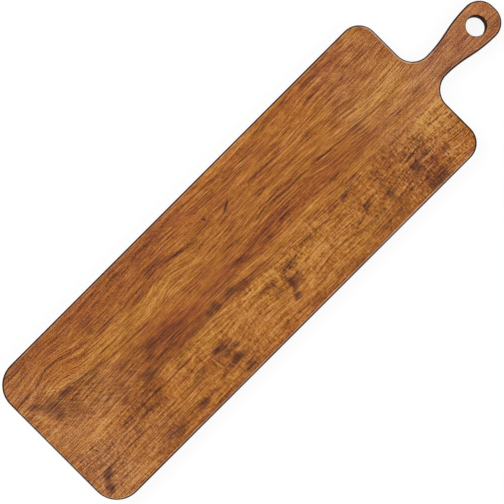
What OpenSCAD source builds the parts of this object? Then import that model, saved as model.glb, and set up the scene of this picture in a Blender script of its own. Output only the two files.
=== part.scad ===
// Paddle serving board. Two hardwood staves are edge-glued into one panel, the panel is
// sawn to a paddle outline with a waisted handle, and every edge is eased with a round.
// X runs from the butt end to the tip of the handle and Z is up from the resting face.
// The origin lies under the middle of the board's length and width.

/* [Serving area] */
// Length from the butt end to the shoulders beside the handle
board_length = 594.5; // [400:0.5:800]
// Width across both staves
board_width = 204; // [150:1:320]
// Thickness of the planed panel
board_thickness = 18; // [14:0.5:30]
// Radius of the two corners at the butt end
butt_corner_radius = 32; // [16:1:60]
// Radius of the two corners beside the handle
shoulder_corner_radius = 23.5; // [16:0.5:45]
// Radius of the round along every outer edge, top and bottom
edge_radius = 3; // [1.5:0.25:5]

/* [Handle] */
// Length from the shoulders to the tip
handle_length = 116.5; // [100:0.5:200]
// Width at the narrowest place of the neck
neck_width = 31.6; // [26:0.1:42]
// Radius of the hollow where the neck meets a shoulder
neck_fillet_radius = 23.4; // [15:0.1:35]
// Width at the widest place of the handle's end
bulb_width = 48.4; // [46:0.1:66]
// Radius of the two rounded corners of the handle's end
cheek_radius = 21.7; // [14:0.1:22.5]

/* [Hanging hole] */
// Diameter of the hole through the handle
hole_diameter = 24; // [12:0.5:30]
// Distance from the centre of the hole to the tip
hole_to_tip = 29.7; // [26:0.1:40]
// Radius of the round along both rims of the hole
hole_edge_radius = 1; // [0.5:0.25:2]

/* [Glue joint] */
// Thickness of the cured glue between the staves
glue_thickness = 0.15; // [0.1:0.05:0.4]
// Distance by which the seam passes the side of the handle's end
seam_clearance = 0.4; // [0.2:0.1:4]

/* [Hidden] */
$fn = 96;
wide_stave_stain = "#8F5527";
narrow_stave_stain = "#9E6530";
cured_glue = "#5B3A1C";
// How far a cutting shape runs past the face that it cuts
cut_overrun = 1;
// How far the rim pieces reach to either side of the outline
rim_depth = 2 * edge_radius;
// How deep the middle of the panel begins, so that the rim pieces lap over it
core_depth = 1.5 * edge_radius;
// How far one rim piece laps over its neighbour
rim_lap = edge_radius / 2;
// Arcs that end closer together than this touch, with no straight between them
touch_gap = 0.01;
// Positions and large radii keep to this grid, so that neighbouring pieces meet exactly
grid = 0.001;

butt_x = on_grid(-(board_length + handle_length) / 2);
shoulder_x = butt_x + board_length;
tip_x = shoulder_x + handle_length;
hole_x = tip_x - hole_to_tip;
side_y = on_grid(board_width / 2);
neck_y = on_grid(neck_width / 2);
bulb_y = on_grid(bulb_width / 2);
seam_y = -(bulb_y + seam_clearance);

// The handle swells from the neck to the bulb along two arcs of one radius, which meet halfway
neck_x = shoulder_x + neck_fillet_radius;
bulb_x = tip_x - cheek_radius;
flare_run = bulb_x - neck_x;
flare_rise = bulb_y - neck_y;
flare_radius = on_grid((flare_run ^ 2 + flare_rise ^ 2) / (4 * flare_rise));
flare_angle = 2 * atan2(flare_rise, flare_run);

// The outline is a ring of arcs and the straights between them, anticlockwise from the tip.
// An arc is [centre, radius, first normal, last normal]. A normal is the direction that the
// edge faces, and a hollow arc has a radius below zero.
left_arcs = [
    [[tip_x - cheek_radius, bulb_y - cheek_radius], cheek_radius, 0, 90],
    [[bulb_x, bulb_y - flare_radius], flare_radius, 90, 90 + flare_angle],
    [[neck_x, neck_y + flare_radius], -flare_radius, 90 + flare_angle, 90],
    [[neck_x, neck_y + neck_fillet_radius], -neck_fillet_radius, 90, 0],
    [[shoulder_x - shoulder_corner_radius, side_y - shoulder_corner_radius],
        shoulder_corner_radius, 0, 90],
    [[butt_x + butt_corner_radius, side_y - butt_corner_radius], butt_corner_radius, 90, 180],
];
outline = concat(left_arcs, [for (i = [len(left_arcs) - 1:-1:0]) mirrored(left_arcs[i])]);

function on_grid(length) = round(length / grid) * grid;

function centre(arc) = arc[0];
function radius(arc) = arc[1];
function first_normal(arc) = arc[2];
function last_normal(arc) = arc[3];
function mirrored(arc) = [
    [centre(arc).x, -centre(arc).y],
    radius(arc),
    -last_normal(arc),
    -first_normal(arc),
];
function is_hollow(arc) = radius(arc) < 0;
function along(angle) = [cos(angle), sin(angle)];
// How sharply the outline bends, which is below zero in a hollow
function bend(arc) = 1 / radius(arc);

// The point of an arc that faces along a normal, moved in from the outline by a depth
function inset(arc, normal, depth) = centre(arc) + (radius(arc) - depth) * along(normal);
function half_turn(arc) = (last_normal(arc) - first_normal(arc)) / 2;
// The corner where the straights that touch both ends of an arc at a depth would meet
function corner_radius(arc, depth) = (radius(arc) - depth) / cos(half_turn(arc));
function corner(arc, depth) =
    centre(arc) + corner_radius(arc, depth) * along(first_normal(arc) + half_turn(arc));
// How deep a ring of wood has to be to fill the arc's stretch of rim
function ring_depth(arc) = cut_overrun + radius(arc)
    - (is_hollow(arc) ? corner_radius(arc, rim_depth) : (radius(arc) - rim_depth) * cos(half_turn(arc)));
// The inner and the outer side of an arc's stretch of rim, drawn with straight lines
function inner_side(arc, depth) = [
    inset(arc, first_normal(arc), depth),
    if (is_hollow(arc)) corner(arc, depth),
    inset(arc, last_normal(arc), depth),
];
function outer_side(arc) = [
    inset(arc, last_normal(arc), -rim_depth),
    if (!is_hollow(arc)) corner(arc, -rim_depth),
    inset(arc, first_normal(arc), -rim_depth),
];

// The straight between the end of one arc and the start of the next
function straight_length(from_arc, to_arc) =
    norm(inset(to_arc, first_normal(to_arc), 0) - inset(from_arc, last_normal(from_arc), 0));
function is_touching(from_arc, to_arc) = straight_length(from_arc, to_arc) < touch_gap;
// A piece of rim runs on past its end, inside a neighbour that bends no more than it does
function lap_turn(arc, neighbour_bend) =
    bend(arc) < neighbour_bend ? 0 : rim_lap * bend(arc) * 180 / PI;
function lapped(before, arc, after) = [
    centre(arc),
    radius(arc),
    first_normal(arc) - lap_turn(arc, is_touching(before, arc) ? bend(before) : 0),
    last_normal(arc) + lap_turn(arc, is_touching(arc, after) ? bend(after) : 0),
];

// A quarter of a disc, which rounds one edge
module edge_round(round_radius) {
    intersection() {
        circle(r = round_radius);
        square(round_radius);
    }
}

// A section across the rim, from the rounded edge at x = 0 to a depth inside the wood
module rim_section(depth, round_radius) {
    translate([round_radius, 0])
        square([depth - round_radius, board_thickness]);
    translate([0, round_radius])
        square([round_radius, board_thickness - 2 * round_radius]);
    translate([round_radius, board_thickness - round_radius])
        mirror([1, 0])
            edge_round(round_radius);
    translate([round_radius, round_radius])
        rotate(180)
            edge_round(round_radius);
}

// A ring of wood outside a hollow, with its rounded edge on the inside
module hollow_ring(hollow_radius, depth, round_radius) {
    rotate_extrude()
        translate([hollow_radius, 0])
            rim_section(depth, round_radius);
}

// A ring of wood with its rounded edge on the outside
module outer_ring(outer_radius, depth, round_radius) {
    rotate_extrude()
        translate([outer_radius, 0])
            mirror([1, 0])
                rim_section(depth, round_radius);
}

module curved_rim(arc) {
    intersection() {
        translate(centre(arc)) {
            if (is_hollow(arc))
                hollow_ring(-radius(arc), ring_depth(arc), edge_radius);
            else
                outer_ring(radius(arc), ring_depth(arc), edge_radius);
        }
        translate([0, 0, -cut_overrun])
            linear_extrude(board_thickness + 2 * cut_overrun)
                polygon(concat(inner_side(arc, rim_depth), outer_side(arc)));
    }
}

// The rim between the end of one arc and the start of the next
module straight_rim(from_arc, to_arc) {
    normal = last_normal(from_arc);
    start_lap = is_hollow(from_arc) ? rim_lap : 0;
    end_lap = is_hollow(to_arc) ? rim_lap : 0;
    if (!is_touching(from_arc, to_arc))
        translate(inset(from_arc, normal, 0) - start_lap * along(normal + 90))
            rotate([90, 0, normal + 180])
                linear_extrude(start_lap + straight_length(from_arc, to_arc) + end_lap)
                    rim_section(rim_depth, edge_radius);
}

// The whole board as one panel, with its outer edges rounded
module panel() {
    linear_extrude(board_thickness)
        polygon([for (arc = outline) each inner_side(arc, core_depth)]);
    for (i = [0:len(outline) - 1]) {
        before = outline[(i + len(outline) - 1) % len(outline)];
        after = outline[(i + 1) % len(outline)];
        curved_rim(lapped(before, outline[i], after));
        straight_rim(outline[i], after);
    }
}

// The strip of the panel between two lengthwise saw cuts
module strip(from_y, to_y) {
    intersection() {
        panel();
        translate([butt_x - cut_overrun, from_y, -cut_overrun])
            cube([tip_x - butt_x + 2 * cut_overrun, to_y - from_y, board_thickness + 2 * cut_overrun]);
    }
}

// The stave that carries the handle, with the hanging hole through it
module wide_stave() {
    color(wide_stave_stain) {
        difference() {
            strip(seam_y + glue_thickness / 2, side_y + cut_overrun);
            translate([hole_x, 0, -cut_overrun])
                cylinder(d = hole_diameter + 3 * hole_edge_radius, h = board_thickness + 2 * cut_overrun);
        }
        translate([hole_x, 0, 0])
            hollow_ring(hole_diameter / 2, 2 * hole_edge_radius, hole_edge_radius);
    }
}

module narrow_stave() {
    color(narrow_stave_stain)
        strip(-side_y - cut_overrun, seam_y - glue_thickness / 2);
}

module glue_line() {
    color(cured_glue)
        strip(seam_y - glue_thickness / 2, seam_y + glue_thickness / 2);
}

wide_stave();
narrow_stave();
glue_line();
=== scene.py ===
"""A paddle serving board in oiled hardwood, seen square from above on a pale floor.

Lengths are in metres, except in the wood's patterns, which are in millimetres of the board's
own frame: X runs along the grain to the tip of the handle, Y across it, and Z up.
"""
import math

import bpy
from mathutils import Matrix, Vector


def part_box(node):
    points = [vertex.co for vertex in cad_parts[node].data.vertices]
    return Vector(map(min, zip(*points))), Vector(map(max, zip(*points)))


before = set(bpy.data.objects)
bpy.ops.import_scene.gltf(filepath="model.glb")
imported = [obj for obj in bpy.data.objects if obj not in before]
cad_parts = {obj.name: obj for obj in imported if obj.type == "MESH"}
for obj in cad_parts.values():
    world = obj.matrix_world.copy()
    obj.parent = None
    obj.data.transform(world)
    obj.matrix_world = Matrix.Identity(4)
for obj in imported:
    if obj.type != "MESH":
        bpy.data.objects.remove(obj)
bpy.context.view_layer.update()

MM = 0.001
BOARD_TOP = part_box("wide_stave")[1][2] / MM

# The photo looks straight down on the board, with the handle to its upper right. Its centre is
# given in millimetres of the board's frame, and the sensor too is measured in millimetres.
PHOTO_PIXELS = 504
MM_PER_PHOTO_PIXEL = 1.1393
PHOTO_CENTRE_X = -37.1
PHOTO_CENTRE_Y = -1.6
HANDLE_TURN = math.radians(45)
CAMERA_HEIGHT = 1.72
SENSOR_WIDTH = 36

# The wood's tones and their colours, from the darkest grain to the palest
WOOD_COLOURS = (
    (0.0, "#3D1A06"),
    (0.14, "#672D08"),
    (0.32, "#87450D"),
    (0.45, "#9B5512"),
    (0.54, "#A75F19"),
    (0.63, "#B16920"),
    (0.77, "#BE7A2F"),
    (1.0, "#D39A57"),
)
# Stain that has soaked in tints the wood; the painted highlight and the dark stain with painted shade on
# the round edge cover it
SOAKED_STAIN = "#9E868F"
PAINTED_EDGE_HIGHLIGHT = "#DDBB9C"
DARK_STAIN_AND_PAINTED_SHADE = "#28120A"
CURED_GLUE = "#5A3518"
SHADED_PAPER = "#606060"
WHITE = "#FFFFFF"

# The sockets of a Mix node that mixes colours: the factor, both colours and the result
MIX_FACTOR = 0
MIX_UNDER = 6
MIX_OVER = 7
MIX_RESULT = 2

# The wood's patterns of noise: the size of their features along the grain, across it and down, and
# their detail. The fibres and pores of such wood are near 0.2 mm across, and are drawn five times
# as coarse to show.
PATTERNS = {
    "wander": ((140, 50, 50), 0),
    "waver": ((40, 20, 24), 1),
    "tears": ((9, 4.5, 4), 3),
    "broad streaks": ((150, 8, 12), 2),
    "grain lines": ((60, 1.15, 2.6), 2),
    "fibres": ((20, 0.95, 1.0), 2),
    "speckle": ((1.3, 1.1, 1.1), 1),
    "clouds": ((26, 12, 16), 2),
    "ripples": ((1.5, 4.5, 6), 1),
    "pores": ((8, 1.1, 1.1), 0),
    "slanted ripples": ((14, 2.4, 6), 2),
    "hue drift": ((50, 7, 9), 2),
    "tinge": ((6, 3, 4), 1),
}
# Each seed reads the noise at a place this much further on
SEED_STEP = (7.3, 3.1, 1.9)
NOISE_MIDDLE = 0.5

# How far the grain wanders and wavers to the side, and how far the outline of an oval is torn
WANDER = 14.0
WAVER = 3.5
TEAR = (10, 6, 0)
# The turn of the slanting ripples, in degrees
RIPPLE_SLANT = -38

# Tones run from 0, the darkest grain, to 1, the palest. Noise seldom comes near the ends of its
# range, so a pattern's span may be over 1.
MIDDLE_TONE = 0.566
BROAD_STREAK_SPAN = 0.45
CLOUD_SPAN = 0.35
GRAIN_LINE_SPAN = 1.30
FIBRE_SPAN = 1.40
SPECKLE_SPAN = 1.40
RIPPLE_SPAN = 1.0
PORE_TONE = -0.13
# The figure is stronger in golden wood than in red
FIGURE_LOST_TO_RED = -0.20
# The hue and the saturation of the wood, and how they change with its redness and its wear
HUE = 0.4992
HUE_PER_RED = -0.0055
SATURATION = 1.03
SATURATION_PER_RED = -0.02
SATURATION_PER_WEAR = -0.10
HUE_DRIFT_SPAN = 3.0
TINGE_SPAN = 4.0

# How strongly a pale highlight is painted where the round begins: everywhere, and added to that in the
# edge ovals
HIGHLIGHT_EVERYWHERE = 0.12
HIGHLIGHT_PER_EDGE_OVAL = 0.60
# The dark stain and painted shade on the round begin further down in the edge ovals, are weaker on the
# flats below, and leave the surface rougher
SHADE_LOWERED_PER_EDGE_OVAL = -0.14
FLATS_PALER = 0.62
STAIN_AND_SHADE_ROUGHEN = 0.35

# The studio's even light on the board, and how bright the ceiling is in its reflections
EVEN_LIGHT = 0.35
DARK_CEILING = 0.12
# The glow that brings the floor up to white together with its share of the light
FLOOR_GLOW = 0.90
FLOOR_SIZE = 30


def linear(hex_colour):
    """An sRGB hex colour as the linear colour that shaders take."""
    channels = [int(hex_colour[i:i + 2], 16) / 255 for i in (1, 3, 5)]
    return [c / 12.92 if c <= 0.04045 else ((c + 0.055) / 1.055) ** 2.4 for c in channels] + [1]


def add(tree, kind, inputs=(), output=0, **settings):
    """Adds a node with its settings. Each input is a value, or the output that it is linked from."""
    node = tree.nodes.new("ShaderNode" + kind)
    for name, value in settings.items():
        setattr(node, name, value)
    pairs = inputs.items() if isinstance(inputs, dict) else enumerate(inputs)
    for key, value in pairs:
        if isinstance(value, bpy.types.NodeSocket):
            tree.links.new(value, node.inputs[key])
        else:
            node.inputs[key].default_value = value
    return node.outputs[output] if len(node.outputs) else node


def new_material(name):
    """An empty material and its node tree."""
    material = bpy.data.materials.new(name)
    material.use_nodes = True
    material.node_tree.nodes.clear()
    return material, material.node_tree


# The tables run from the butt end to the handle. Each oval is (x, y,
# half length, half width, turn in degrees, strength), in millimetres.

# Where the wood is lighter, or below zero darker, than the wood around it
WIDE_STAVE_REACHES = [
    (-341, 25, 8, 10, 0, 0.08),
    (-336, 0, 18, 34, 0, 0.05),
    (-330, -12, 12, 7, 0, -0.07),
    (-328, -15, 12, 8, 0, -0.08),
    (-320, -18, 20, 6, 0, -0.05),
    (-312, -12, 34, 13, -10, 0.16),
    (-306, -22, 20, 8, 0, 0.10),
    (-306, 60, 30, 26, 0, 0.05),
    (-306, 84, 26, 10, 0, -0.03),
    (-300, 62, 60, 12, 0, -0.02),
    (-283, 15, 10, 5, 0, -0.08),
    (-262, -20, 36, 5, 0, 0.05),
    (-242, 30, 12, 8, 0, 0.05),
    (-240, 33, 10, 6, 0, -0.05),
    (-237, 80, 24, 12, 0, -0.035),
    (-232, -20, 28, 6, 0, -0.12),
    (-230, 4, 12, 7, 0, -0.08),
    (-230, 30, 12, 5, 0, 0.05),
    (-214, -12, 12, 5, 0, 0.05),
    (-214, 46, 22, 6, 0, 0.05),
    (-214, 78, 14, 8, 0, -0.05),
    (-212, 22, 16, 5, 0, -0.05),
    (-200, 92, 150, 8, 0, -0.06),
    (-197, 46, 20, 6, 0, -0.06),
    (-197, 72, 28, 8, 0, -0.10),
    (-190, 7, 44, 8, 0, -0.14),
    (-190, 60, 26, 8, 0, -0.05),
    (-180, 56, 26, 5, 0, 0.04),
    (-180, 88, 70, 9, 0, -0.05),
    (-175, -9, 62, 10, 0, -0.16),
    (-174, 6, 8, 10, 0, -0.10),
    (-170, 36, 105, 15, 0, 0.07),
    (-168, 46, 40, 12, 0, -0.03),
    (-162, 2, 30, 7, 0, -0.08),
    (-158, 8, 22, 8, 0, -0.06),
    (-150, 60, 22, 8, 0, -0.05),
    (-145, -16, 22, 6, 0, -0.06),
    (-144, -11, 12, 3, 0, 0.06),
    (-140, 75, 16, 8, 0, -0.06),
    (-134, 67, 40, 8, 0, -0.08),
    (-129, 85, 217, 18, 0, -0.04),
    (-128, 86, 24, 10, 0, -0.06),
    (-122, 4, 20, 6, 0, -0.05),
    (-117, 27, 14, 10, 0, 0.05),
    (-117, 84, 22, 10, 0, 0.03),
    (-100, -22, 44, 4, 0, -0.06),
    (-94, -19, 40, 4, 0, -0.05),
    (-90, 42, 20, 5, 0, -0.08),
    (-88, 41, 22, 6, 0, -0.05),
    (-70, -21, 26, 4, 0, -0.10),
    (-70, 42, 40, 5, 0, -0.08),
    (-60, 81, 34, 6, 0, 0.06),
    (-50, -21, 24, 4, 0, -0.10),
    (-50, 50, 34, 5, 0, -0.06),
    (-43, 64, 14, 5, 0, 0.06),
    (-40, 1, 66, 7, 0, -0.16),
    (-37, 33, 30, 8, 0, -0.07),
    (-37, 69, 18, 5, 0, -0.07),
    (-30, 50, 30, 8, 0, 0.05),
    (-22, 32, 40, 5, 0, -0.05),
    (-20, -24, 26, 3, 0, -0.08),
    (-20, -17, 22, 6, 0, -0.04),
    (-14, 37, 80, 16, 0, 0.04),
    (-9, 50, 12, 8, 0, -0.05),
    (20, -20, 34, 5, 0, -0.05),
    (25, 55, 45, 5, 0, -0.10),
    (26, 61, 12, 6, 0, 0.07),
    (35, -17, 66, 7, 0, 0.10),
    (37, 44, 44, 14, 0, -0.025),
    (44, 14, 26, 12, 0, -0.03),
    (48, 12, 26, 5, 0, -0.05),
    (50, 27, 46, 6, 0, -0.07),
    (54, 63, 26, 5, 0, -0.05),
    (60, 78, 24, 8, 0, 0.04),
    (70, 1, 100, 8, -4, -0.12),
    (78, -18, 40, 5, 0, -0.06),
    (84, -13, 28, 8, 0, -0.14),
    (90, 60, 34, 24, 0, 0.07),
    (94, 90, 24, 6, 0, -0.05),
    (130, 10, 60, 7, 0, -0.05),
    (134, 44, 24, 7, 0, 0.05),
    (134, 70, 14, 8, 0, 0.05),
    (142, -3, 16, 13, 0, -0.07),
    (168, 10, 14, 8, 0, -0.05),
    (176, 50, 32, 56, 0, -0.05),
    (190, 20, 40, 17, 0, 0.20),
    (196, -22, 16, 5, 0, 0.05),
    (212, 10, 14, 6, 0, 0.08),
    (214, 76, 22, 20, 0, 0.10),
    (216, -20, 32, 8, 0, 0.14),
    (222, -10, 16, 8, 0, -0.05),
    (230, 84, 24, 8, 0, -0.05),
    (231, 21, 10, 14, 0, 0.05),
    (231, 90, 8, 10, 0, -0.06),
    (236, 2, 16, 12, 0, 0.12),
    (240, -18, 8, 10, 0, 0.12),
    (240, 17, 26, 6, 0, -0.06),
    (260, 40, 24, 30, 0, -0.05),
    (300, 0, 56, 32, 0, -0.03),
]
NARROW_STAVE_REACHES = [
    (-322, -29, 28, 5, 0, 0.08),
    (-320, -54, 14, 14, 0, -0.09),
    (-311, -34, 12, 6, 0, 0.06),
    (-306, -32, 20, 8, 0, 0.08),
    (-299, -53, 14, 8, 0, -0.04),
    (-298, -83, 18, 6, 0, 0.06),
    (-290, -72, 44, 28, 0, -0.03),
    (-287, -52, 7, 6, 0, -0.06),
    (-268, -66, 20, 8, 0, 0.04),
    (-262, -30, 34, 6, 0, 0.05),
    (-260, -70, 70, 24, 0, 0.04),
    (-250, -93, 14, 6, 0, -0.06),
    (-246, -90, 26, 7, 0, -0.10),
    (-242, -46, 30, 10, 0, -0.12),
    (-240, -32, 12, 6, 0, 0.10),
    (-236, -88, 34, 8, 0, -0.10),
    (-236, -34, 30, 10, 0, -0.12),
    (-228, -74, 12, 5, 0, 0.06),
    (-208, -66, 22, 8, 0, 0.04),
    (-202, -46, 16, 16, 0, 0.14),
    (-200, -64, 18, 8, 0, -0.05),
    (-200, -30, 11, 6, 0, 0.16),
    (-191, -52, 22, 14, 0, -0.04),
    (-190, -86, 24, 14, 0, -0.025),
    (-177, -74, 9, 16, 0, -0.06),
    (-174, -66, 12, 8, 0, -0.05),
    (-163, -38, 8, 8, 0, -0.10),
    (-162, -28, 14, 5, 0, -0.14),
    (-156, -55, 7, 8, 0, 0.12),
    (-152, -37, 18, 10, -15, 0.22),
    (-145, -74, 18, 10, 0, -0.10),
    (-145, -31, 24, 7, 0, -0.06),
    (-130, -74, 8, 10, 0, -0.05),
    (-104, -76, 14, 9, 0, 0.08),
    (-104, -66, 24, 18, 0, 0.12),
    (-104, -30, 34, 12, 0, -0.04),
    (-100, -62, 20, 8, 0, -0.06),
    (-100, -52, 22, 12, 0, 0.04),
    (-100, -38, 30, 9, 0, 0.12),
    (-85, -31, 62, 7, 0, 0.12),
    (-80, -50, 190, 22, 0, 0.02),
    (-72, -40, 36, 9, 0, 0.07),
    (-70, -28, 26, 4, 0, -0.10),
    (-62, -70, 26, 6, 0, 0.07),
    (-48, -36, 12, 6, 0, 0.05),
    (-26, -72, 10, 6, 0, -0.06),
    (-24, -74, 14, 5, 0, 0.05),
    (-14, -48, 10, 8, 0, -0.05),
    (-9, -88, 24, 14, 0, -0.025),
    (-9, -52, 22, 14, 0, -0.025),
    (-9, -31, 24, 6, 0, -0.04),
    (-3, -62, 60, 26, 0, 0.08),
    (0, -102, 350, 5, 0, -0.10),
    (3, -70, 14, 8, 0, 0.05),
    (20, -56, 40, 13, 0, 0.18),
    (31, -85, 28, 7, 0, -0.08),
    (38, -58, 20, 7, 0, -0.08),
    (40, -46, 30, 8, 0, -0.03),
    (48, -61, 16, 6, 0, -0.05),
    (60, -78, 40, 14, 0, 0.08),
    (66, -82, 16, 6, 0, -0.05),
    (66, -80, 18, 6, 0, 0.05),
    (80, -42, 14, 11, 0, -0.06),
    (83, -66, 20, 26, 0, -0.035),
    (88, -72, 8, 12, 0, -0.05),
    (92, -56, 30, 8, 0, 0.09),
    (94, -50, 10, 12, 0, -0.06),
    (94, -29, 16, 6, 0, -0.08),
    (96, -92, 48, 7, 0, -0.12),
    (100, -82, 12, 8, 0, 0.04),
    (104, -48, 8, 14, 0, 0.10),
    (106, -86, 26, 10, 0, -0.08),
    (126, -45, 8, 9, 0, -0.07),
    (145, -53, 16, 6, 0, 0.08),
    (146, -50, 16, 16, 0, -0.12),
    (152, -40, 12, 12, 0, -0.06),
    (174, -82, 18, 12, 0, -0.18),
    (174, -30, 24, 7, 0, -0.03),
    (180, -76, 8, 8, 0, 0.04),
    (188, -68, 8, 10, 0, -0.05),
    (194, -28, 14, 4, 0, 0.05),
    (205, -82, 14, 6, 0, 0.08),
    (208, -82, 8, 5, 0, 0.05),
    (212, -42, 18, 18, 0, 0.18),
    (212, -28, 28, 5, 0, 0.10),
    (225, -87, 10, 10, 0, -0.05),
    (236, -36, 8, 16, 0, 0.16),
    (256, -46, 6, 12, 0, 0.06),
]
# Where the wood is redder and duller, or below zero more golden
WIDE_STAVE_REDS = [
    (-170, 38, 100, 14, 0, -0.6),
    (-160, 4, 36, 36, 0, 0.5),
    (-100, 84, 250, 26, 0, 0.55),
    (-10, 2, 190, 10, 0, 0.7),
    (30, 88, 60, 12, 0, -0.5),
    (60, -17, 78, 6, 0, -0.4),
    (160, 76, 70, 26, 0, 0.2),
    (190, 20, 40, 16, 0, -0.8),
    (300, 0, 56, 32, 0, 0.6),
]
NARROW_STAVE_REDS = [
    (-148, -34, 26, 10, -15, -1.2),
    (-144, -34, 30, 8, 0, 0.3),
    (-30, -40, 90, 14, 0, -0.6),
    (0, -103, 350, 6, 0, 0.8),
    (60, -76, 50, 16, 0, -0.4),
    (176, -72, 24, 20, 0, 0.5),
    (212, -42, 20, 18, 0, -1.0),
]
# Where dark stain has soaked in: smudges, knots, and grain lines that drank more than others
WIDE_STAVE_STAINS = [
    (-338, 48, 8, 3.5, -30, 0.70),
    (-324, 20, 6, 5, -20, 0.50),
    (-324, 35, 11, 9, -45, 0.58),
    (-312, 26, 16, 12, -35, 0.14),
    (-308, 12, 14, 11, -40, 0.30),
    (-303, 36, 9, 5, 0, 0.54),
    (-290, 35, 15, 6, 0, 0.40),
    (-272, -2, 30, 9, -30, 0.18),
    (-272, 24, 13, 7, -20, 0.28),
    (-262, 31, 22, 4, -12, 0.28),
    (-231, 64, 3, 3, 0, 0.30),
    (-230, 70, 6, 8, 0, 0.30),
    (-221, -19, 10, 8, 0, 0.52),
    (-220, 14, 24, 7, 0, 0.20),
    (-216, 66, 5, 3, 0, 0.20),
    (-205, -2, 8, 3, -30, 0.35),
    (-204, 56, 26, 4, -1, 0.14),
    (-193, 5, 8, 6, 20, 0.38),
    (-160, -19, 50, 4, 0, 0.28),
    (-138, 85, 7, 8, 0, 0.28),
    (-130, 66, 14, 6, 0, 0.24),
    (-121, -17, 4, 4, 0, 0.70),
    (-110, -15, 5.5, 5, 0, 0.70),
    (-88, -16, 9, 5.5, 0, 0.72),
    (-73, -19, 8, 4, 0, 0.55),
    (125, -6, 14, 6, 0, 0.15),
    (139, 92, 7, 3, 0, 0.35),
    (146, 12, 5, 3, 0, 0.30),
    (227, -4, 8, 4, 0, 0.35),
    (230, 80, 7, 12, 0, 0.22),
    (270, -14, 22, 3, -4, 0.28),
]
NARROW_STAVE_STAINS = [
    (-342, -80, 6, 3, 10, 0.50),
    (-340, -75, 8, 4, 52, 0.62),
    (-332, -64, 7, 5, 20, 0.85),
    (-321, -62, 8, 2, 8, 0.60),
    (-252, -82, 5, 3.5, 0, 0.28),
    (-246, -29, 12, 4, 0, 0.20),
    (-240, -86, 15, 6, -3, 0.55),
    (-236, -31, 16, 4, -3, 0.24),
    (-197, -86, 8, 3.5, 5, 0.75),
    (-193, -85, 3, 3, 0, 0.40),
    (-188, -64, 5, 2.5, 0, 0.25),
    (-179, -59, 9, 4, 5, 0.40),
    (-158, -62, 1.6, 6, 5, 0.28),
    (-152, -64, 2, 8, 8, 0.40),
    (-140, -62, 8, 5, 0, 0.54),
    (-140, -53, 12, 5, -5, 0.66),
    (-133, -72, 5, 3, 0, 0.50),
    (-132, -77, 12, 4, 0, 0.60),
    (-128, -92, 11, 4.5, 0, 0.64),
    (-125, -62, 5, 3, -15, 0.62),
    (-48, -58, 7, 6, 0, 0.42),
    (-35, -75, 5, 3.5, 0, 0.85),
    (-34, -69, 7, 3, 54, 0.60),
    (-30, -60, 4, 5, 0, 0.50),
    (-30, -57, 4, 8, 12, 0.80),
    (-21, -61, 6, 4, 0, 0.60),
    (-18, -55, 8, 2, 3, 0.55),
    (-17, -41, 12, 3.5, 2, 0.34),
    (40, -97, 12, 3, 0, 0.45),
    (80, -31, 5, 2, 0, 0.40),
    (81, -43, 10, 1.8, 5, 0.35),
    (85, -60, 22, 2.4, 17, 0.20),
    (91, -28, 16, 2.2, 20, 0.50),
    (120, -80, 50, 20, 0, 0.10),
    (122, -67, 4.5, 9, 0, 0.60),
    (122, -48, 4, 5, 0, 0.30),
    (147, -67, 7, 5, 0, 0.30),
    (163, -74, 9, 3, 0, 0.35),
    (164, -65, 7, 5, 0, 1.00),
    (165, -94, 5, 4, 0, 0.35),
    (175, -94, 16, 6, 0, 0.75),
    (181, -61, 9, 4, -5, 0.75),
    (186, -47, 6, 3, 10, 0.60),
    (202, -64, 5, 1.8, 0, 0.35),
    (203, -74, 6, 3.2, -8, 0.55),
]
# Single grain lines, darker below zero and paler above it
WIDE_STAVE_LINES = [
    (-336, 62.5, 18, 1.3, 3, -0.30),
    (-309, 67, 12, 1.3, 17, -0.32),
    (-290, 69.3, 9, 1.3, -6, -0.32),
    (-290, 72.6, 12, 1.0, -5, 0.20),
    (-272, 64.6, 12, 1.3, -18, -0.30),
    (-262, 58.5, 12, 1.0, -16, 0.18),
    (-248, 60.3, 15, 1.2, -5, -0.30),
    (-212, 58.2, 24, 1.2, -2, -0.30),
    (-196, 25.8, 45, 1.0, -3, -0.30),
    (-176, 58.3, 20, 1.1, 2, -0.25),
    (-143, 32.5, 9, 1.0, 26, -0.30),
    (-136, 40, 12, 1.0, 12, 0.25),
    (-130, 66.5, 14, 1.0, 0, -0.32),
    (-128, 70, 13, 1.0, 0, -0.30),
    (-122, 36, 14, 1.0, 0, -0.28),
    (-93, 57, 22, 1.8, -11, -0.28),
    (-49.6, 63.4, 1.7, 1.7, 0, -0.40),
    (-43, 20, 14, 1.0, -4, -0.35),
    (-21, 56.5, 7, 1.4, 25, -0.62),
    (0, 22.6, 11, 1.2, 12, -0.42),
    (15, 38.4, 3, 0.9, 0, -0.50),
    (27, 27.5, 15, 1.1, 4, -0.42),
    (37, 21.5, 23, 1.1, -3, -0.38),
    (37, 58, 24, 1.6, -5, -0.30),
    (82, 28, 22, 1.0, 0, -0.38),
    (94, 19, 34, 1.0, -4, -0.36),
    (101, -22, 9, 1.4, 0, -0.35),
    (101, 48, 15, 1.1, 0, -0.28),
    (137, 76.4, 23, 1.0, 0, -0.22),
]
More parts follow.
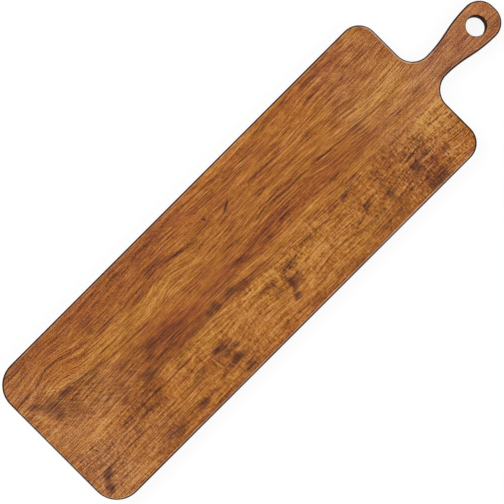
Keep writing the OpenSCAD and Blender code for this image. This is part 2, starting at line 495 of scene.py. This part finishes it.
NARROW_STAVE_LINES = [
    (-342, -32.5, 5, 0.9, -3, -0.45),
    (-324, -30.5, 4, 0.9, 0, -0.50),
    (-322, -37, 1.1, 3, 20, -0.40),
    (-273, -38.5, 12, 1.0, -5, -0.30),
    (-252, -60.6, 56, 1.0, 0, -0.25),
    (-233, -37, 30, 1.1, -2, -0.42),
    (-230, -68.5, 11, 1.0, -6, -0.25),
    (-188, -38, 20, 1.0, -2, -0.35),
    (-157, -63, 0.9, 8, 8, -0.15),
    (-154.5, -63, 1.2, 8, 8, 0.20),
    (-151.5, -66, 0.9, 7, 8, -0.13),
    (-144, -53, 5, 2, 10, -0.26),
    (-137, -51, 12, 1.3, 0, -0.20),
    (-133, -76, 9, 1.7, 3, -0.20),
    (-131, -64, 8, 1.2, 0, -0.26),
    (-129, -93, 9, 1.4, 0, -0.26),
    (-99, -32, 27, 1.1, -14, -0.28),
    (-95, -28.5, 26, 1.1, -13, 0.20),
    (-74, -63, 9, 1.0, -12, -0.35),
    (-53, -41.7, 14, 1.1, -3, -0.45),
    (-36.5, -43, 1.8, 5, 0, 0.35),
    (-31, -58, 1.6, 6, 8, -0.10),
    (-28, -89, 26, 1.0, -2, -0.30),
    (-20, -55.5, 8, 1.3, 2, -0.28),
    (-17, -42, 9, 1.1, 2, -0.35),
    (-17, -41, 12, 1.4, 2, -0.30),
    (10, -70.5, 14, 1.1, 8, -0.38),
    (12, -36, 10, 1.0, 8, -0.18),
    (32, -57, 1.4, 9, 4, -0.36),
    (34, -68, 12, 1.1, 0, -0.42),
    (36, -35.5, 12, 1.0, -6, -0.20),
    (54, -40, 10, 1.0, -20, -0.18),
    (57, -70, 12, 1.1, -8, -0.36),
    (72, -66, 9, 1.2, 14, -0.40),
    (89, -60.5, 9, 1.4, 22, -0.28),
    (97, -54, 9, 1.4, 8, -0.30),
    (168, -52, 13, 1.1, 8, -0.40),
    (229, -45, 7, 1.0, -20, -0.35),
]
# Where the ends and the handle are worn, which leaves the wood duller
HANDLED_WOOD = [
    (-350, 0, 50, 120, 0, 0.5),
    (-292, -66, 60, 36, 0, 0.4),
    (-262, 0, 40, 24, 0, 0.4),
    (196, 20, 60, 90, 0, 0.5),
    (302, 0, 62, 34, 0, 0.9),
]
# Where the grain swings to the side, by a strength in millimetres
GRAIN_SWINGS = [
    (-298, 66, 22, 22, 0, -7.5),
    (-200, 52, 44, 26, 0, 3.0),
    (-134, -62, 26, 18, 0, 5.0),
    (-128, 40, 24, 16, 0, -7.0),
    (-84, -22, 30, 10, 0, -3.0),
    (-27, -58, 26, 16, 0, 5.0),
    (40, 26, 50, 22, 0, -5.0),
    (130, 10, 60, 24, 0, 4.0),
    (170, -66, 34, 20, 0, -5.0),
    (200, 22, 50, 26, 0, 5.0),
]
# Where the grain is curly, which shows as short ripples across it
CURLY_GRAIN = [
    (-140, -70, 40, 28, 0, 0.3),
    (-4, -44, 40, 16, 0, 0.4),
    (96, -52, 40, 26, 0, 0.3),
    (172, -64, 50, 34, 0, 0.65),
]
# Where the fibres lie aslant and the light catches them in short slanting ripples
SLANTED_RIPPLES = [
    (-286, 10, 70, 32, -20, 1.0),
    (-110, 90, 80, 14, 0, 0.4),
    (150, 78, 60, 24, 0, 0.5),
]
# Where the painted highlight on the eased edge is stronger, or below zero where its dark stain and
# painted shade reach further up
EDGE_HIGHLIGHT_AND_SHADE = [
    (-340, 84, 22, 24, 0, -1.0),
    (-336, -90, 24, 16, 0, 0.4),
    (-100, -102, 200, 5, 0, 0.35),
    (150, -102, 90, 5, 0, 0.5),
    (236, -84, 16, 26, 0, -0.8),
    (238, 60, 9, 44, 0, 0.7),
    (250, 14, 22, 16, 0, 0.5),
    (326, 0, 15, 15, 0, -1.0),
]
# Where the flats are as dark as the round: the wall of the hanging hole gets dark stain and painted shade
HANGING_HOLE = [
    (326, 0, 15, 15, 0, -FLATS_PALER),
]
# The reaches go right through the board, and the stains have faded out at its underside
REACH_DEPTH = 40
STAIN_DEPTH = 11


def soft_ovals(tree, field, place, table, depth, softness):
    """A field with ovals added to it, each at its strength within and fading out over its softness."""
    fade = 1 + softness
    for x, y, half_length, half_width, turn, strength in table:
        local = add(tree, "Mapping", {
            "Vector": place,
            "Location": (x, y, BOARD_TOP),
            "Rotation": (0, 0, math.radians(turn)),
            "Scale": (half_length * fade, half_width * fade, depth * fade),
        }, vector_type="TEXTURE")
        # The gradient falls from 1 at the middle to 0 where the oval has faded out
        nearness = add(tree, "TexGradient", [local], output="Fac", gradient_type="SPHERICAL")
        shape = add(tree, "MapRange", {
            "Value": nearness,
            "From Max": 2 * softness / fade,
            "To Max": strength,
        }, interpolation_type="SMOOTHSTEP")
        field = add(tree, "Math", [field, shape], operation="ADD")
    return field


def wood_pattern(tree, place, name, seed, output="Fac", turn=0.0, **noise):
    """One of the wood's patterns. Its place in their table gives it a seed of its own."""
    size, detail = PATTERNS[name]
    seed += list(PATTERNS).index(name)
    local = add(tree, "Mapping", {
        "Vector": place,
        "Location": [seed * step for step in SEED_STEP],
        "Rotation": (0, 0, math.radians(turn)),
        "Scale": size,
    }, vector_type="TEXTURE")
    settings = {"Vector": local, "Scale": 1.0, "Detail": detail, **noise}
    return add(tree, "TexNoise", settings, output=output)


def with_patterns(tree, field, *patterns):
    """A field with patterns of noise added to it, each of which swings about zero over its span."""
    for pattern, span in patterns:
        centred = add(tree, "Math", [pattern, span, -span * NOISE_MIDDLE], operation="MULTIPLY_ADD")
        field = add(tree, "Math", [field, centred], operation="ADD")
    return field


def bent_grain(tree, place, seed):
    """The place that the grain is drawn at, moved to the side so that the grain bends."""
    wander = wood_pattern(tree, place, "wander", seed)
    waver = wood_pattern(tree, place, "waver", seed)
    sideways = with_patterns(tree, 0.0, (wander, WANDER))
    sideways = add(tree, "Math", [waver, WAVER, sideways], operation="MULTIPLY_ADD")
    sideways = soft_ovals(tree, sideways, place, GRAIN_SWINGS, REACH_DEPTH, softness=0.9)
    swing = add(tree, "CombineXYZ", [0.0, sideways, 0.0])
    return add(tree, "VectorMath", [place, swing], operation="ADD")


def torn_outlines(tree, place, seed):
    """The place that ovals are drawn at, torn so that they are ragged, mostly along the grain."""
    ragged = wood_pattern(tree, place, "tears", seed, output="Color", Roughness=0.6)
    ragged = add(tree, "VectorMath", [ragged, (NOISE_MIDDLE,) * 3], operation="SUBTRACT")
    return add(tree, "VectorMath", [ragged, TEAR, place], operation="MULTIPLY_ADD")


def grain_figure(tree, place, grain, lines, fibres, seed, curl):
    """The fine light and dark of the grain, which swings about zero."""
    speckle = wood_pattern(tree, place, "speckle", seed)
    ripple = wood_pattern(tree, grain, "ripples", seed, Distortion=0.3)
    figure = with_patterns(
        tree, 0.0, (lines, GRAIN_LINE_SPAN), (fibres, FIBRE_SPAN), (speckle, SPECKLE_SPAN))
    curliness = soft_ovals(tree, curl, place, CURLY_GRAIN, REACH_DEPTH, softness=0.8)
    rippled = with_patterns(tree, 0.0, (ripple, RIPPLE_SPAN))
    return add(tree, "Math", [rippled, curliness, figure], operation="MULTIPLY_ADD")


def slanted_ripples(tree, place, seed):
    """Ripples across the grain at a slant, which swing about zero."""
    slant = wood_pattern(tree, place, "slanted ripples", seed, turn=RIPPLE_SLANT)
    aslant = soft_ovals(tree, 0.0, place, SLANTED_RIPPLES, REACH_DEPTH, softness=0.8)
    rippled = with_patterns(tree, 0.0, (slant, RIPPLE_SPAN))
    return add(tree, "Math", [rippled, aslant], operation="MULTIPLY")


def open_pores(tree, grain, seed):
    """Short dark dashes along the grain, 1 in a pore and 0 beside it."""
    pores = wood_pattern(tree, grain, "pores", seed)
    return add(tree, "MapRange", {"Value": pores, "From Min": 0.60, "From Max": 0.72},
               interpolation_type="SMOOTHSTEP")


def oiled_colour(tree, tone, redness, oval_amount):
    """The colour of a tone of the wood: redder or more golden, and duller where it is worn."""
    ramp = tree.nodes.new("ShaderNodeValToRGB")
    while len(ramp.color_ramp.elements) < len(WOOD_COLOURS):
        ramp.color_ramp.elements.new(0.5)
    for element, (position, colour) in zip(ramp.color_ramp.elements, WOOD_COLOURS):
        element.position = position
        element.color = linear(colour)
    tree.links.new(tone, ramp.inputs["Fac"])
    hue = add(tree, "Math", [redness, HUE_PER_RED, HUE], operation="MULTIPLY_ADD")
    saturation = add(tree, "Math", [redness, SATURATION_PER_RED, SATURATION], operation="MULTIPLY_ADD")
    saturation = add(tree, "Math", [oval_amount, SATURATION_PER_WEAR, saturation], operation="MULTIPLY_ADD")
    return add(tree, "HueSaturation", {
        "Hue": hue,
        "Saturation": saturation,
        "Color": ramp.outputs["Color"],
    })


def with_soaked_stain(tree, colour, torn, stains, lines):
    """A colour of wood, darkened and drawn towards violet by stain, more on the darker lines."""
    soaked = soft_ovals(tree, 0.0, torn, stains, STAIN_DEPTH, softness=0.7)
    uneven = add(tree, "MapRange", {
        "Value": lines,
        "From Min": 0.3,
        "From Max": 0.7,
        "To Min": 1.4,
        "To Max": 0.9,
    })
    soaked = add(tree, "Math", [soaked, uneven], operation="MULTIPLY", use_clamp=True)
    return add(tree, "Mix", {MIX_FACTOR: soaked, MIX_UNDER: colour, MIX_OVER: linear(SOAKED_STAIN)},
               output=MIX_RESULT, data_type="RGBA", blend_type="MULTIPLY")


def with_eased_edge(tree, colour, place, normal):
    """A colour of wood with a painted highlight where the round of the edge begins, and dark stain with
    painted shade below that.

    The amount of the dark stain and painted shade comes with it.
    """
    outward = add(tree, "VectorMath", [normal, (1, 1, 0)], operation="MULTIPLY")
    turned = add(tree, "VectorMath", [outward], output="Value", operation="LENGTH")
    oval_amount = soft_ovals(tree, 0.0, place, EDGE_HIGHLIGHT_AND_SHADE, REACH_DEPTH, softness=0.3)
    crest = add(tree, "MapRange", {"Value": turned, "From Min": 0.02, "From Max": 0.14},
                interpolation_type="SMOOTHSTEP")
    highlight_strength = add(tree, "Math", [oval_amount, HIGHLIGHT_PER_EDGE_OVAL, HIGHLIGHT_EVERYWHERE], operation="MULTIPLY_ADD",
                  use_clamp=True)
    # The flats of the edge get no painted highlight, and less dark stain and painted shade than the round
    # except in the hanging hole
    flat = add(tree, "MapRange", {"Value": turned, "From Min": 0.92, "From Max": 0.998},
               interpolation_type="SMOOTHSTEP")
    round_part = add(tree, "Math", [1.0, flat], operation="SUBTRACT")
    painted_highlight = add(tree, "Math", [crest, round_part], operation="MULTIPLY")
    painted_highlight = add(tree, "Math", [painted_highlight, highlight_strength], operation="MULTIPLY")
    # Painted highlight where the round of the edge begins, where the surface turns a little outward
    colour = add(tree, "Mix", {MIX_FACTOR: painted_highlight, MIX_UNDER: colour, MIX_OVER: linear(PAINTED_EDGE_HIGHLIGHT)},
                 output=MIX_RESULT, data_type="RGBA")
    # Dark stain with painted shade, the darker the further the surface turns outward down the round
    lowered = add(tree, "Math", [oval_amount, SHADE_LOWERED_PER_EDGE_OVAL, turned], operation="MULTIPLY_ADD")
    eased = add(tree, "MapRange", {
        "Value": lowered,
        "From Min": 0.26,
        "From Max": 0.50,
        "To Max": 0.96,
    }, interpolation_type="SMOOTHSTEP")
    paler = soft_ovals(tree, FLATS_PALER, place, HANGING_HOLE, REACH_DEPTH, softness=0.1)
    paler = add(tree, "Math", [flat, paler], operation="MULTIPLY")
    stain_and_shade = add(tree, "Math", [eased, paler], operation="SUBTRACT", use_clamp=True)
    colour = add(tree, "Mix", {MIX_FACTOR: stain_and_shade, MIX_UNDER: colour, MIX_OVER: linear(DARK_STAIN_AND_PAINTED_SHADE)},
                 output=MIX_RESULT, data_type="RGBA")
    return colour, stain_and_shade


def stained_hardwood(name, reaches, reds, stains, single_lines, seed, curl):
    """Hardwood, planed, stained and oiled: golden brown, red streaks, dark pores and a low sheen."""
    material, tree = new_material(name)
    coordinates = tree.nodes.new("ShaderNodeTexCoord")
    place = add(tree, "VectorMath", [coordinates.outputs["Object"], (1 / MM,) * 3], operation="MULTIPLY")
    grain = bent_grain(tree, place, seed)
    torn = torn_outlines(tree, place, seed)

    broad = wood_pattern(tree, grain, "broad streaks", seed)
    lines = wood_pattern(tree, grain, "grain lines", seed)
    fibres = wood_pattern(tree, grain, "fibres", seed)
    cloud = wood_pattern(tree, place, "clouds", seed)
    redness = soft_ovals(tree, 0.0, torn, reds, REACH_DEPTH, softness=0.7)
    boldness = add(tree, "Math", [redness, FIGURE_LOST_TO_RED, 1.0], operation="MULTIPLY_ADD")
    figure = grain_figure(tree, place, grain, lines, fibres, seed, curl)
    tone = with_patterns(tree, MIDDLE_TONE, (broad, BROAD_STREAK_SPAN), (cloud, CLOUD_SPAN))
    tone = add(tree, "Math", [figure, boldness, tone], operation="MULTIPLY_ADD")
    tone = add(tree, "Math", [slanted_ripples(tree, place, seed), tone], operation="ADD")
    tone = soft_ovals(tree, tone, torn, reaches, REACH_DEPTH, softness=0.7)
    tone = soft_ovals(tree, tone, place, single_lines, STAIN_DEPTH, softness=0.5)
    pores = open_pores(tree, grain, seed)
    tone = add(tree, "Math", [pores, PORE_TONE, tone], operation="MULTIPLY_ADD")

    # The hue drifts between golden and reddish brown, slowly along the grain
    drift = wood_pattern(tree, grain, "hue drift", seed)
    tinge = wood_pattern(tree, place, "tinge", seed)
    redness = with_patterns(tree, redness, (drift, HUE_DRIFT_SPAN), (tinge, TINGE_SPAN))
    worn = soft_ovals(tree, 0.0, torn, HANDLED_WOOD, REACH_DEPTH, softness=0.5)
    colour = oiled_colour(tree, tone, redness, worn)
    colour = with_soaked_stain(tree, colour, torn, stains, lines)
    # The round edge gets a painted highlight, and dark stain with painted shade below it
    colour, stain_and_shade = with_eased_edge(tree, colour, place, coordinates.outputs["Normal"])

    sheen = add(tree, "MapRange", {"Value": fibres, "To Min": 0.42, "To Max": 0.60})
    roughness = add(tree, "Math", [stain_and_shade, STAIN_AND_SHADE_ROUGHEN, sheen], operation="MULTIPLY_ADD")
    height = add(tree, "Math", [pores, -1.0, fibres], operation="MULTIPLY_ADD")
    relief = add(tree, "Bump", {"Strength": 0.35, "Distance": 0.15 * MM, "Height": height})
    gloss = add(tree, "MapRange", {"Value": stain_and_shade, "To Min": 0.5, "To Max": 0.1})
    shader = add(tree, "BsdfPrincipled", {
        "Base Color": colour,
        "Roughness": roughness,
        "IOR": 1.47,
        "Specular IOR Level": gloss,
        "Normal": relief,
    })
    add(tree, "OutputMaterial", {"Surface": shader})
    return material


def cured_glue():
    """Wood glue, cured in a thin line: dark brown and duller than the oiled wood."""
    material, tree = new_material("cured wood glue")
    shader = add(tree, "BsdfPrincipled", {"Base Color": linear(CURED_GLUE), "Roughness": 0.6})
    add(tree, "OutputMaterial", {"Surface": shader})
    return material


FINISHES = {
    "wide_stave": stained_hardwood(
        "oiled hardwood, wide stave", WIDE_STAVE_REACHES, WIDE_STAVE_REDS, WIDE_STAVE_STAINS,
        WIDE_STAVE_LINES, seed=3, curl=0.25),
    "narrow_stave": stained_hardwood(
        "oiled hardwood, narrow stave", NARROW_STAVE_REACHES, NARROW_STAVE_REDS, NARROW_STAVE_STAINS,
        NARROW_STAVE_LINES, seed=41, curl=0.90),
    "glue_line": cured_glue(),
}
for node_name, finish in FINISHES.items():
    for material_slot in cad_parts[node_name].material_slots:
        material_slot.material = finish


def pale_floor():
    """Matt white paper, which the camera sees as white and which keeps the board's soft shadow."""
    material, tree = new_material("matt white paper")
    rays = tree.nodes.new("ShaderNodeLightPath")
    seen = add(tree, "Math", [rays.outputs["Is Camera Ray"], rays.outputs["Is Glossy Ray"]],
               operation="MAXIMUM")
    seen = add(tree, "Math", [seen, rays.outputs["Is Transmission Ray"]], operation="MAXIMUM")
    paper = add(tree, "BsdfDiffuse", {"Color": linear(SHADED_PAPER)})
    strength = add(tree, "Math", [seen, FLOOR_GLOW], operation="MULTIPLY")
    glow = add(tree, "Emission", {"Color": linear(WHITE), "Strength": strength})
    add(tree, "OutputMaterial", {"Surface": add(tree, "AddShader", [paper, glow])})
    return material


bpy.ops.mesh.primitive_plane_add(size=FLOOR_SIZE, location=(0, 0, 0))
floor = bpy.context.object
floor.name = "floor"
floor.data.materials.append(pale_floor())


def studio_world():
    """White surroundings for the camera and reflections, and an even plain light on everything."""
    world = bpy.data.worlds.new("studio")
    world.use_nodes = True
    tree = world.node_tree
    tree.nodes.clear()
    rays = tree.nodes.new("ShaderNodeLightPath")
    mirrored = add(tree, "Math", [rays.outputs["Is Glossy Ray"], rays.outputs["Is Transmission Ray"]],
                   operation="MAXIMUM")
    direction = tree.nodes.new("ShaderNodeTexCoord").outputs["Generated"]
    upward = add(tree, "SeparateXYZ", [direction], output="Z")
    # The white walls end above eye level, under a dark ceiling
    walls = add(tree, "MapRange", {
        "Value": upward,
        "From Min": 0.45,
        "From Max": 0.75,
        "To Min": 1.0,
        "To Max": DARK_CEILING,
    }, interpolation_type="SMOOTHSTEP")
    strength = add(tree, "Mix", {"Factor": mirrored, "A": EVEN_LIGHT, "B": walls}, data_type="FLOAT")
    strength = add(tree, "Mix", {"Factor": rays.outputs["Is Camera Ray"], "A": strength, "B": 1.0},
                   data_type="FLOAT")
    background = add(tree, "Background", {"Color": linear(WHITE), "Strength": strength})
    add(tree, "OutputWorld", {"Surface": background})
    bpy.context.scene.world = world


def softbox(name, azimuth, elevation, distance, size, power):
    """A square lamp that points at the middle of the board from a direction in the frame."""
    data = bpy.data.lights.new(name, "AREA")
    data.size = size
    data.energy = power
    lamp = bpy.data.objects.new(name, data)
    bpy.context.collection.objects.link(lamp)
    azimuth = math.radians(azimuth)
    elevation = math.radians(elevation)
    level = distance * math.cos(elevation)
    lamp.location = (
        level * math.cos(azimuth), level * math.sin(azimuth), distance * math.sin(elevation))
    lamp.rotation_euler = (math.pi / 2 - elevation, 0, azimuth + math.pi / 2)


studio_world()
softbox("window side", azimuth=110, elevation=42, distance=3.4, size=2.4, power=75)
softbox("far side", azimuth=-70, elevation=42, distance=3.4, size=2.4, power=48)

camera_data = bpy.data.cameras.new("camera")
camera_data.sensor_width = SENSOR_WIDTH
camera_data.lens = SENSOR_WIDTH * CAMERA_HEIGHT / (PHOTO_PIXELS * MM_PER_PHOTO_PIXEL * MM)
camera = bpy.data.objects.new("camera", camera_data)
bpy.context.collection.objects.link(camera)
camera.location = (PHOTO_CENTRE_X * MM, PHOTO_CENTRE_Y * MM, BOARD_TOP * MM + CAMERA_HEIGHT)
camera.rotation_euler = (0, 0, -HANDLE_TURN)
bpy.context.scene.camera = camera
bpy.context.scene.view_settings.view_transform = "Standard"
